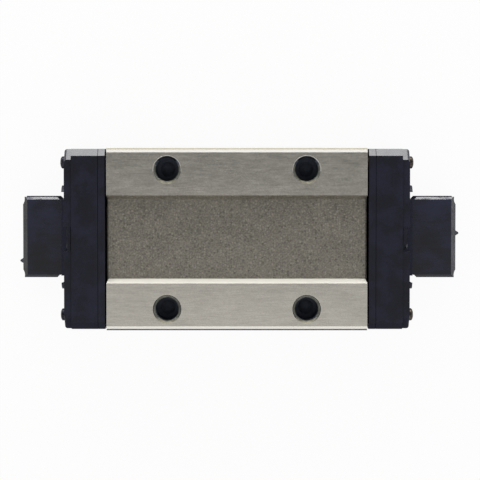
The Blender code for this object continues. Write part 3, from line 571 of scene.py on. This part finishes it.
def mouth_profile():
    """Half section of the cutter: a narrow slope, the countersunk ring, then the thread bottom."""
    overrun = 0.001
    ring = MOUTH_RADIUS - CREST_RADIUS
    bottom = THREAD_START + THREAD_TURNS * THREAD_PITCH
    flare = overrun * (MOUTH_RADIUS - RIM_RADIUS) / RIM_DEPTH
    return [(0, overrun), (MOUTH_RADIUS + flare, overrun), (RIM_RADIUS, -RIM_DEPTH), (CREST_RADIUS, -ring),
            (THREAD_RADIUS, -ring - THREAD_RADIUS + CREST_RADIUS), (THREAD_RADIUS, -bottom),
            (CREST_RADIUS, -bottom - FLOOR_CONE), (0, -bottom - FLOOR_CONE)]


def thread_shape(x, y):
    """Helical ridge of one hole, as a closed wedge spun downwards and capped at both ends."""
    shape = bmesh.new()
    root = THREAD_RADIUS + THREAD_SUNK
    half = THREAD_ROOT_SHARE * THREAD_PITCH
    crest = THREAD_CREST_SHARE * THREAD_PITCH
    wedge = [(root, half), (CREST_RADIUS, crest), (CREST_RADIUS, -crest), (root, -half)]
    verts = [shape.verts.new((x + r, y, top - THREAD_START - THREAD_PITCH / 2 + z)) for r, z in wedge]
    start = shape.faces.new(verts)
    steps = (THREAD_TURNS - 1) * THREAD_STEPS
    bmesh.ops.spin(shape, geom=[start, *start.edges, *start.verts], cent=(x, y, 0), axis=(0, 0, 1),
                   dvec=(0, 0, -THREAD_PITCH / THREAD_STEPS), steps=steps,
                   angle=2 * math.pi * steps / THREAD_STEPS)
    bmesh.ops.remove_doubles(shape, verts=shape.verts, dist=1e-8)
    bmesh.ops.recalc_face_normals(shape, faces=shape.faces)
    return shape


block = mesh_object("steel_block", cad_shape("carriage_block"))
for hole_x, hole_y in HOLE_XY:
    narrow_mouth(block.data, hole_x, hole_y)
    cutter = turned_shape(mouth_profile(), ROUND_STEPS)
    bmesh.ops.translate(cutter, verts=cutter.verts, vec=(hole_x, hole_y, top))
    cut(block, cutter)
print("block faces:", len(block.data.polygons))

# %% [markdown]
# Each face of the block gets its finish from where it lies and which way it looks. Where the way it
# looks picks a tone for a slope or a flank, that tone is painted reflection, highlight or shade. The
# faces are few, so a short list of rules, read from the first to the last, is simpler than painting
# them.

# %% Define the rules for the block's finishes
STEEL_FINISHES = [ground_pad, ground_side, blasted_steel, milled_steel, painted_shade_steel, track_steel,
                  ring_steel, painted_highlight_steel, painted_reflection_steel, painted_deep_shade_steel, painted_light_flank_steel]
PAD, SIDE, BLASTED, MILLED, PAINTED_SHADE, TRACK, RING, PAINTED_HIGHLIGHT, PAINTED_REFLECTION, PAINTED_DEEP_SHADE, PAINTED_LIGHT_FLANK = range(len(STEEL_FINISHES))
LEVEL = 0.95
SLOPED = 0.3
HOLE_REACH = 0.0095
SINK_REACH = 0.001
SLOPE_REACH = 0.002
OUTER_STRIP = 0.01672
SIDE_FROM = 0.0169
INSIDE_TO = 0.0098
TRACKS_TO = 0.0095


def near_hole(point):
    """True where a point lies within the mouth of a mounting hole."""
    return any(math.hypot(point.x - x, point.y - y) < 1.02 * MOUTH_RADIUS for x, y in HOLE_XY)


def hole_finish(point, normal):
    """Index of the finish of a face inside a mounting hole, with painted reflection, highlight and shade
    picked by the way it looks.
    """
    in_rim = point.z > top - RIM_DEPTH
    if normal.z < 0.5 or point.z < top - SINK_REACH:
        return PAINTED_SHADE
    # Faces towards the lamp get the painted reflection; the rim of the front holes and back slopes that
    # look away get painted shade, and the top line of the back holes a painted highlight.
    if normal.y > 0.5:
        return PAINTED_REFLECTION
    if point.y < 0:
        return PAINTED_DEEP_SHADE if in_rim else RING
    if in_rim:
        return PAINTED_HIGHLIGHT if normal.y < 0.1 else RING
    return PAINTED_DEEP_SHADE if normal.y < -0.45 else PAINTED_SHADE if normal.y < -0.25 else RING


def block_finish(point, normal):
    """Index of the finish of one face of the block."""
    across = abs(point.y)
    if near_hole(point) and top - HOLE_REACH < point.z < top - 0.1 * CLOSE:
        return hole_finish(point, normal)
    if normal.z > LEVEL:
        return PAD if point.z > top - CLOSE else BLASTED
    if normal.z > SLOPED and point.z > top - SLOPE_REACH:
        # The outer strips of the chamfers get painted reflection at the back and painted shade at the
        # front.
        if across > OUTER_STRIP:
            return PAINTED_REFLECTION if point.y > 0 else PAINTED_SHADE
        # The back flank gets painted light, the front flank and front chamfer a painted highlight.
        if point.y > 0:
            return PAINTED_LIGHT_FLANK if across < INSIDE_TO else MILLED
        return PAINTED_HIGHLIGHT
    if abs(normal.y) > LEVEL and across > SIDE_FROM:
        return SIDE
    if across < INSIDE_TO and point.z < TRACKS_TO:
        return TRACK
    return BLASTED if abs(normal.x) < 0.5 else SIDE


def paint_faces(mesh, rule):
    """Gives each face of a mesh the material index that a rule finds for it."""
    for face in mesh.polygons:
        face.material_index = rule(face.center, face.normal)


print("finishes of the block:", [finish.name for finish in STEEL_FINISHES])

# %% [markdown]
# Two small changes bring the block closer to the real one. The foot of each channel flank moves a
# little towards its pad, and each chamfer is split lengthwise, because its outer strip has another
# tone: painted shade along the front edge and a painted reflection along the back. A bisect cuts
# only the faces it is given, so the rest of the block keeps its flat faces.

# %% Finish the block
FLANK_FOOT = (0.006, 0.0085)
CHANNEL_FLOOR = top - 0.0016
FOOT_SHIFT = 0.0002
CHAMFER_FROM = 0.016

block_shape = bmesh.new()
block_shape.from_mesh(block.data)
bpy.data.objects.remove(block)
bmesh.ops.dissolve_limit(block_shape, angle_limit=math.radians(1), use_dissolve_boundaries=False,
                         verts=block_shape.verts, edges=block_shape.edges)
feet = [vert for vert in block_shape.verts if FLANK_FOOT[0] < abs(vert.co.y) < FLANK_FOOT[1]
        and abs(vert.co.z - CHANNEL_FLOOR) < CLOSE]
for vert in feet:
    vert.co.y += math.copysign(FOOT_SHIFT, vert.co.y)
chamfers = [face for face in block_shape.faces if SLOPED < face.normal.z < LEVEL
            and abs(face.calc_center_median().y) > CHAMFER_FROM]
for face in chamfers:
    side_y = math.copysign(OUTER_STRIP, face.calc_center_median().y)
    bmesh.ops.bisect_plane(block_shape, geom=[face, *face.edges, *face.verts],
                           plane_co=(0, side_y, 0), plane_no=(0, 1, 0))
block = add_piece("steel_block", block_shape, STEEL_FINISHES, "carriage_block", edge=0.00008)
paint_faces(block.data, block_finish)
print("flank corners moved:", len(feet), "chamfers split:", len(chamfers))

# %% [markdown]
# The four threads are one piece with the dark finish of the holes, which is painted shade. They
# stand for no solid, because the solid's bores are plain.

# %% Add the threads
threads = bmesh.new()
for hole_x, hole_y in HOLE_XY:
    ridge = thread_shape(hole_x, hole_y)
    ridge_mesh = bpy.data.meshes.new("ridge")
    ridge.to_mesh(ridge_mesh)
    ridge.free()
    threads.from_mesh(ridge_mesh)
    bpy.data.meshes.remove(ridge_mesh)
thread_piece = mesh_object("hole_threads", threads)
thread_piece.data.materials.append(painted_shade_steel)
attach(thread_piece, "carriage")
print("thread faces:", len(thread_piece.data.polygons))

# %% [markdown]
# Three layers close each end: a thin plate, the main cap and an outer plate. The bevel at the back
# has a shinier copy of the resin, a painted highlight, and the one in front a dull copy, painted
# shade, so a rule picks their finish as it does for the block.

# %% Define the rule for the caps' finishes
RESIN_FINISHES = [cap_resin, painted_highlight_bevel_resin, side_resin, painted_shade_bevel_resin]
MOULDED, BEVEL, CAP_SIDE, PAINTED_DARK_BEVEL = range(len(RESIN_FINISHES))
CAP_EDGE = 0.0146


def cap_finish(point, normal):
    """Index of the finish of one face of a plate or cap."""
    if abs(point.y) < CAP_EDGE:
        return MOULDED
    if normal.z > SLOPED and abs(normal.y) > SLOPED:
        # The back bevel gets the painted highlight and the front bevel the painted shade.
        return BEVEL if normal.y > 0 else PAINTED_DARK_BEVEL
    return CAP_SIDE if abs(normal.y) > LEVEL else MOULDED


print("finishes of the caps:", [finish.name for finish in RESIN_FINISHES])

# %% [markdown]
# The solids leave a thin gap between the layers, which shows as a dark line. The screws press the
# real layers together, so the inner face of each copy is moved against the layer behind it. The
# outer plate is also drawn nearly as wide as the cap, and its upright corners are rounded with the
# bevel operator.

# %% Define how the end layers are fitted
SEAM = 0.00002
WIDER = 0.0003
BEVEL_FROM = 0.017
CORNER_FROM = 0.0145
PLATE_MIDDLE = 0.0318
CORNER_HEIGHT = 0.001
CORNER_ROUND = 0.0005


def pressed_layer(node, behind, seam):
    """A layer with its inner face moved against the one behind, as the screws press it."""
    shape = cad_shape(node)
    face = max(abs(corner.x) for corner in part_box(behind)) + seam
    inner = min(abs(vert.co.x) for vert in shape.verts)
    for vert in shape.verts:
        if abs(vert.co.x) < inner + SEAM:
            vert.co.x = math.copysign(face, vert.co.x)
    return shape


def widen(shape):
    """Moves the sides of the outer plate out, almost flush with the cap, and its bevels with them."""
    side = max(vert.co.y for vert in shape.verts)
    for vert in shape.verts:
        if abs(vert.co.y) > side - SEAM:
            vert.co.y += math.copysign(WIDER, vert.co.y)
            if vert.co.z > BEVEL_FROM:
                vert.co.z -= WIDER


def round_corners(shape):
    """Rounds the upright outer corners of the outer plate and returns how many there are."""
    corners = [edge for edge in shape.edges if edge.calc_face_angle(0) > 1
               and all(abs(vert.co.y) > CORNER_FROM and abs(vert.co.x) > PLATE_MIDDLE
                       for vert in edge.verts)
               and abs(edge.verts[0].co.z - edge.verts[1].co.z) > CORNER_HEIGHT]
    bmesh.ops.bevel(shape, geom=corners, offset=CORNER_ROUND, offset_type="OFFSET", segments=4,
                    profile=0.5, affect="EDGES", clamp_overlap=False, material=-1)
    return len(corners)


# %% [markdown]
# A wall stands in the slot of the outer plate, behind the grease plug, and is arched over it. The
# right one has a small hole beside the middle. The wall is a box that is cut with a round cutter,
# and it joins the mesh of the plate.

# %% Define the wall of the port slot
SLOT_HALF = 0.0023
SADDLE_SUNK = 0.00058
SADDLE_BELOW = 0.0002
ARCH_GAP = 0.00004
ARCH_FROM = -0.001
ARCH_TO = 0.002
PORT_HOLE_Y = (-0.0021, -0.0011)
PORT_HOLE_DEPTH = 0.001


def box_shape(low, high, end):
    """Closed box between two corners, mirrored to the left end where the end is left."""
    shape = bmesh.new()
    bmesh.ops.create_cube(shape, size=1)
    low, high = Vector(low), Vector(high)
    middle = (low + high) / 2
    middle.x *= 1 if end == "right" else -1
    bmesh.ops.scale(shape, verts=shape.verts, vec=high - low)
    bmesh.ops.translate(shape, verts=shape.verts, vec=middle)
    return shape


def port_saddle(end):
    """The wall at the back of the port slot, arched over the plug, with a small hole at the right."""
    low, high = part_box("seal_plate_right")
    plug_low, plug_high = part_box("grease_plug_right")
    plug = (plug_low + plug_high) / 2
    radius = (plug_high.y - plug_low.y) / 2 + ARCH_GAP
    wall = box_shape((low.x, -SLOT_HALF, plug.z), (high.x - SADDLE_SUNK, SLOT_HALF, high.z - SADDLE_BELOW),
                     end)
    saddle = mesh_object("saddle", wall)
    arch = turned_shape([(0, ARCH_FROM), (radius, ARCH_FROM), (radius, ARCH_TO), (0, ARCH_TO)],
                        ROUND_STEPS)
    sign = 1 if end == "right" else -1
    bmesh.ops.transform(arch, verts=arch.verts, matrix=outward_place(sign * low.x, plug.y, plug.z, sign))
    cut(saddle, arch)
    if end == "right":
        cut(saddle, box_shape((high.x - PORT_HOLE_DEPTH, PORT_HOLE_Y[0], plug.z),
                              (high.x, PORT_HOLE_Y[1], high.z + PORT_HOLE_DEPTH), end))
    return saddle


# %% [markdown]
# Now both ends are dressed, layer by layer. A rubber lip closes each end round the rail, and the bead
# on its outer side is cut at its two upper corners, where the photograph shows gaps.

# %% Dress the end layers and the lips
LIP_WEB = 0.00025
CORNER_GAP_Y = (0.00725, 0.00865)
CORNER_GAP_HALF = 0.0025
CUT_BEYOND = 0.001

for end in ("left", "right"):
    plate = add_piece(f"inner_plate_{end}", cad_shape(f"return_plate_{end}"), RESIN_FINISHES,
                      f"return_plate_{end}", edge=0.00006)
    cap = add_piece(f"cap_moulding_{end}", pressed_layer(f"end_cap_{end}", f"return_plate_{end}", 3 * SEAM),
                    RESIN_FINISHES, f"end_cap_{end}", edge=0.00005)
    outer_shape = pressed_layer(f"seal_plate_{end}", f"end_cap_{end}", SEAM)
    widen(outer_shape)
    print("rounded corners:", round_corners(outer_shape))
    saddle = port_saddle(end)
    outer_shape.from_mesh(saddle.data)
    bpy.data.objects.remove(saddle)
    outer = add_piece(f"outer_plate_{end}", outer_shape, RESIN_FINISHES, f"seal_plate_{end}", edge=0.00006)
    for layer in (plate, cap, outer):
        paint_faces(layer.data, cap_finish)
    lip = add_piece(f"rubber_lip_{end}", cad_shape(f"seal_lip_{end}"), [lip_rubber], f"seal_lip_{end}")
    low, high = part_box("seal_lip_right")
    for way in (-1, 1):
        near_y, far_y = sorted((way * CORNER_GAP_Y[0], way * CORNER_GAP_Y[1]))
        cut(lip, box_shape((low.x + LIP_WEB, near_y, high.z - CORNER_GAP_HALF),
                           (high.x + CUT_BEYOND, far_y, high.z + CORNER_GAP_HALF), end))
    round_edges(lip, 0.00006)

# %% [markdown]
# Seals run under both legs, keeper strips lie beside the loaded balls and a retainer strip hangs over
# the rail. They keep the shape of their solids and get only a finish and rounded edges.

# %% Dress the strips
for side in ("front", "back"):
    add_piece(f"leg_seal_{side}", cad_shape(f"under_seal_{side}"), [lip_rubber], f"under_seal_{side}",
              edge=0.0001)
    add_piece(f"keeper_strip_{side}", cad_shape(f"ball_keeper_{side}"), [ivory_resin],
              f"ball_keeper_{side}", edge=0.00005)
add_piece("retainer_strip", cad_shape("ceiling_retainer"), [ivory_resin], "ceiling_retainer",
          edge=0.00008)

# %% [markdown]
# The carriage is shipped on a short rail of glossy black plastic. Its upper back edge, which faces
# the lamp, has lighter and shinier patches, a painted highlight, and the slanted faces at its ends
# are rougher where it was cut to length, more so at the right.

# %% Dress the rail
RAIL_FINISHES = [rail_plastic, painted_highlight_edge_resin, cut_resin, scuffed_resin]
SMOOTH, PAINTED_LIT_EDGE, SAWN, SCUFFED = range(len(RAIL_FINISHES))
RAIL_TOP_FROM = 0.009


def rail_finish(point, normal):
    """Index of the finish of one face of the rail: a painted highlight on the back edge, and rougher
    slanted ends.
    """
    if normal.z < SLOPED or point.z < RAIL_TOP_FROM:
        return SMOOTH
    if abs(normal.x) > SLOPED:
        return SAWN if normal.x > 0 else SCUFFED
    # The upper back edge, which faces the lamp, gets the painted highlight.
    return PAINTED_LIT_EDGE if normal.y > SLOPED else SMOOTH


rail = add_piece("transport_rail", cad_shape("dummy_rail"), RAIL_FINISHES, "dummy_rail", edge=0.00006)
paint_faces(rail.data, rail_finish)
print("rail faces:", len(rail.data.polygons))

# %% [markdown]
# Small pan head screws hold the end layers on. Each screw is a profile spun about its axis, and the
# cross recess is cut with two crossed bars that taper inwards. The shank keeps the length of its
# solid, and the two screws of an end stop at different turns.

# %% Turn the end screws
HEAD_STEPS = 32
HEAD_HEIGHT = 0.0008
HEAD_SHARE = 0.92
SHANK_RADIUS = 0.0009
CROWN_FROM = 0.45
SCREW_TURNS = {"front": 65, "back": 20}


def screw_profile(radius, head, shank, reach):
    """Half section of a pan head screw, from the middle of the head to the tip of the shank."""
    crown = [(radius * math.sin(angle), head * (CROWN_FROM + (1 - CROWN_FROM) * math.cos(angle)))
             for angle in (math.radians(step * 15) for step in range(7))]
    return [*crown, (radius, 0.0), (shank, 0.0), (shank, -reach + shank / 2), (shank / 2, -reach),
            (0, -reach)]


def bar_shape(radius, head, turn):
    """One tapered bar of the cross recess, turned about the screw's axis."""
    shape = bmesh.new()
    bmesh.ops.create_cone(shape, cap_ends=True, segments=4, radius1=0.3 * radius,
                          radius2=0.8 * radius, depth=1.2 * head)
    bmesh.ops.rotate(shape, verts=shape.verts, matrix=Matrix.Rotation(math.pi / 4, 3, "Z"))
    bmesh.ops.scale(shape, verts=shape.verts, vec=(1, 0.25, 1))
    bmesh.ops.rotate(shape, verts=shape.verts, matrix=Matrix.Rotation(turn, 3, "Z"))
    bmesh.ops.translate(shape, verts=shape.verts, vec=(0, 0, 0.95 * head))
    return shape


def end_screw(node, end, turn_degrees, material):
    """Pan head screw in the place of its solid, with a cross recess."""
    low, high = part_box(node)
    middle = (low + high) / 2
    radius = HEAD_SHARE * (high.y - low.y) / 2
    seat = (high.x if end > 0 else -low.x) - HEAD_HEIGHT
    reach = high.x - low.x - HEAD_HEIGHT
    name = node.replace("end_screw", "pan_screw")
    profile = screw_profile(radius, HEAD_HEIGHT, SHANK_RADIUS, reach)
    screw = mesh_object(name, turned_shape(profile, HEAD_STEPS))
    for turn in (0, math.pi / 2):
        cut(screw, bar_shape(radius, HEAD_HEIGHT, turn))
    shape = bmesh.new()
    shape.from_mesh(screw.data)
    bpy.data.objects.remove(screw)
    turn = Matrix.Rotation(math.radians(turn_degrees), 4, "Z")
    bmesh.ops.transform(shape, verts=shape.verts,
                        matrix=outward_place(end * seat, middle.y, middle.z, end) @ turn)
    bmesh.ops.recalc_face_normals(shape, faces=shape.faces)
    add_piece(name, shape, [material], node, edge=0.00003)


for end, sign, oxide in (("left", -1, black_oxide), ("right", 1, brown_oxide)):
    for side in ("front", "back"):
        end_screw(f"end_screw_{end}_{side}", sign, SCREW_TURNS[side], oxide)

# %% [markdown]
# A small plug closes the grease port at each end. It is spun like the screws, and its hexagon
# socket is cut with a six-sided cone of equal radii.

# %% Turn the grease plugs
PLUG_HEAD = 0.00069
PLUG_SHANK = 0.00135
PLUG_RIM = 0.00025
SOCKET_RADIUS = 0.0009
SOCKET_DEPTH = 0.0012


def grease_plug(node, end):
    """Plug with a rounded rim and a hexagon socket, in the place of its solid."""
    low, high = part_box(node)
    middle = (low + high) / 2
    radius = (high.y - low.y) / 2
    face = high.x if end > 0 else -low.x
    reach = high.x - low.x
    step = 0.3 * PLUG_RIM
    profile = [(0, 0), (radius - PLUG_RIM, 0), (radius - step, -step), (radius, -PLUG_RIM),
               (radius, -PLUG_HEAD), (PLUG_SHANK, -PLUG_HEAD), (PLUG_SHANK, -reach), (0, -reach)]
    plug = mesh_object(node + "_turned", turned_shape(profile, ROUND_STEPS))
    socket = bmesh.new()
    bmesh.ops.create_cone(socket, cap_ends=True, segments=6, radius1=SOCKET_RADIUS,
                          radius2=SOCKET_RADIUS, depth=2 * SOCKET_DEPTH)
    cut(plug, socket)
    shape = bmesh.new()
    shape.from_mesh(plug.data)
    bpy.data.objects.remove(plug)
    bmesh.ops.transform(shape, verts=shape.verts, matrix=outward_place(end * face, middle.y, middle.z, end))
    bmesh.ops.recalc_face_normals(shape, faces=shape.faces)
    add_piece(node.replace("grease_plug", "port_plug"), shape, [plate_resin], node, edge=0.00004)


grease_plug("grease_plug_left", -1)
grease_plug("grease_plug_right", 1)

# %% [markdown]
# Inside run four loops of steel balls on a resin belt. A loop goes along the loaded row, round the
# end and back through the return bore. One function gives the place on that path for a distance
# along it.

# %% Define the path of the balls
BALL_RADIUS = 0.0015875
BALL_PITCH = 0.0042
TURN_X = 0.02445
ROW_Y = 0.0073
RETURN_Y = 0.012575
LEVELS = {"upper": (0.0076125, 0.0102125), "lower": (0.0034375, 0.0039375)}


def loop_place(distance, side, level, length, radius):
    """Point and direction of travel on a ball loop, from the middle of the return run on."""
    row_z, back_z = LEVELS[level]
    loaded = Vector((0, side * ROW_Y, row_z))
    returning = Vector((0, side * RETURN_Y, back_z))
    across = (returning - loaded).normalized()
    middle = (loaded + returning) / 2
    straight = 2 * TURN_X
    turn = math.pi * radius
    distance = distance % length
    if distance < straight / 2:
        return returning - Vector((distance, 0, 0))
    distance -= straight / 2
    if distance < turn:
        angle = distance / radius
        bulge = Vector((TURN_X + radius * math.sin(angle), 0, 0))
        return middle - bulge + across * radius * math.cos(angle)
    distance -= turn
    if distance < straight:
        return loaded + Vector((distance - TURN_X, 0, 0))
    distance -= straight
    if distance < turn:
        angle = distance / radius
        bulge = Vector((TURN_X + radius * math.sin(angle), 0, 0))
        return middle + bulge - across * radius * math.cos(angle)
    return returning + Vector((TURN_X + turn - distance, 0, 0))


print("levels of the balls in mm:", {level: round(1000 * places[0], 2) for level, places in LEVELS.items()})

# %% [markdown]
# The balls are spheres set along the path, and the belt is a flat band along it that shows between
# them.

# %% Thread the balls on their belts
BELT_HALF_THICK = 0.0002
BELT_HALF_WIDTH = 0.0009
BELT_STEPS = 160


def belt_shape(side, level, length, radius):
    """Closed band along a ball loop, made of one small rectangle after another."""
    band = bmesh.new()
    row_z, back_z = LEVELS[level]
    outward = Vector((0, side * (RETURN_Y - ROW_Y), back_z - row_z)).normalized()
    wide = outward.cross(Vector((1, 0, 0)))
    rings = []
    for step in range(BELT_STEPS):
        here = loop_place(step * length / BELT_STEPS, side, level, length, radius)
        ahead = loop_place((step + 0.5) * length / BELT_STEPS, side, level, length, radius)
        behind = loop_place((step - 0.5) * length / BELT_STEPS, side, level, length, radius)
        thick = wide.cross(ahead - behind).normalized() * BELT_HALF_THICK
        broad = wide * BELT_HALF_WIDTH
        rings.append([band.verts.new(here + offset)
                      for offset in (thick + broad, thick - broad, -thick - broad, broad - thick)])
    for ring, following in zip(rings, rings[1:] + rings[:1]):
        for corner in range(4):
            after = (corner + 1) % 4
            band.faces.new((ring[corner], ring[after], following[after], following[corner]))
    bmesh.ops.recalc_face_normals(band, faces=band.faces)
    return band


for side, sign in (("front", -1), ("back", 1)):
    for level, (row_z, back_z) in LEVELS.items():
        node = f"ball_chain_{side}_{level}"
        radius = math.dist((ROW_Y, row_z), (RETURN_Y, back_z)) / 2
        length = 2 * (2 * TURN_X + math.pi * radius)
        count = int(length / BALL_PITCH) - 1
        pitch = length / (count + 1)
        balls = bmesh.new()
        for ball in range(1, count + 1):
            centre = loop_place(ball * pitch, sign, level, length, radius)
            bmesh.ops.create_uvsphere(balls, u_segments=20, v_segments=12, radius=BALL_RADIUS,
                                      matrix=Matrix.Translation(centre))
        add_piece(f"ball_row_{side}_{level}", balls, [bright_ball], node).data.shade_smooth()
        add_piece(f"ball_belt_{side}_{level}", belt_shape(sign, level, length, radius), [ivory_resin], node)
print("balls in a loop:", count)

# %% [markdown]
# The guides inside the turns and the liners of the return bores hardly show. Their solids are right
# as they are, and they only get the natural resin in place of the plain colour.

# %% Finish the solids that stay
for name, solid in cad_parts.items():
    if name.startswith(("turn_guide", "return_tube")):
        for slot in solid.material_slots:
            slot.material = ivory_resin
print("solids with resin:", sum(name.startswith(("turn_guide", "return_tube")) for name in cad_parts))

# %% [markdown]
# The box of the visual model is printed, to set beside the box of the CAD model from the start.
# The visual model has to stay within the box of the CAD model.

# %% Write the sizes and finish
low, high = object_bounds()
print("visual box in mm:", [round(1000 * size, 2) for size in high - low])
